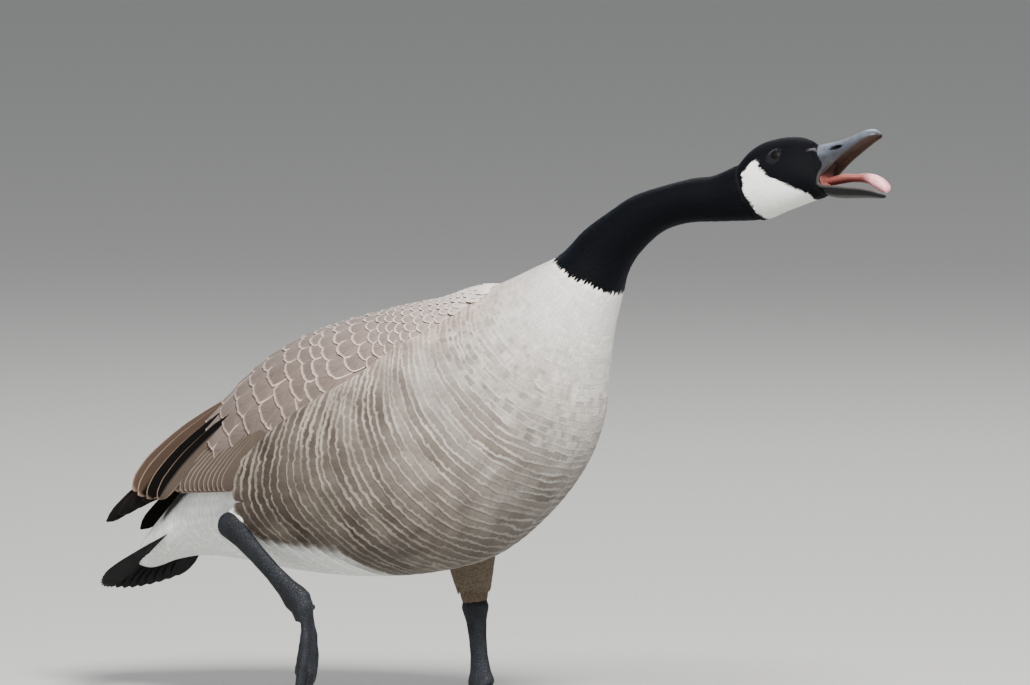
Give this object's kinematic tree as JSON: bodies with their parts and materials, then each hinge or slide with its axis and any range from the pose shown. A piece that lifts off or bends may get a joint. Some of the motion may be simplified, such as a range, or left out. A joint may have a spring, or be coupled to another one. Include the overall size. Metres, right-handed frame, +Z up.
{
  "type": "canada goose",
  "caption": "Life-size still model of a Canada goose striding with neck stretched forward and bill open.",
  "frame": {"origin": "on the floor under the sole of the planted left foot", "axes": "+X the way the goose faces, +Y its left side, +Z up"},
  "size_m": [0.7392, 0.1988, 0.5067],
  "materials": {
    "black_feathers": "soft matt feathers of the head and neck with a faint blue-violet sheen",
    "breast_feathers": "pale lapping body feathers with fine grey-brown bars",
    "wing_feathers": "taupe-brown feathers with pale tips and dark quills",
    "tail_feathers": "black-brown quills with a low sheen",
    "white_feathers": "soft white down of the vent and thighs",
    "bill": "slate-black horn with a satin gloss",
    "mouth": "moist pink-red skin inside the mouth",
    "tongue": "moist pale pink tongue",
    "eye": "wet dark-brown eye",
    "leg_skin": "slate-black scaly skin",
    "claw": "black horn claws"
  },
  "bodies": {
    "root": {"head": "black_feathers", "eye_right": "eye", "eye_left": "eye", "upper_bill": "bill", "lower_bill": "bill", "mouth_lining": "mouth", "tongue": "tongue", "neck_upper": "black_feathers", "neck_lower": "black_feathers", "torso": "breast_feathers", "wing_right": "wing_feathers", "wing_left": "wing_feathers", "tail": "tail_feathers", "thigh_right": "white_feathers", "tarsus_right": "leg_skin", "foot_right": "leg_skin", "claw_right_inner": "claw", "claw_right_middle": "claw", "claw_right_outer": "claw", "claw_right_hind": "claw", "thigh_left": "breast_feathers", "tarsus_left": "leg_skin", "foot_left": "leg_skin", "claw_left_inner": "claw", "claw_left_middle": "claw", "claw_left_outer": "claw", "claw_left_hind": "claw"}
  },
  "joints": []
}
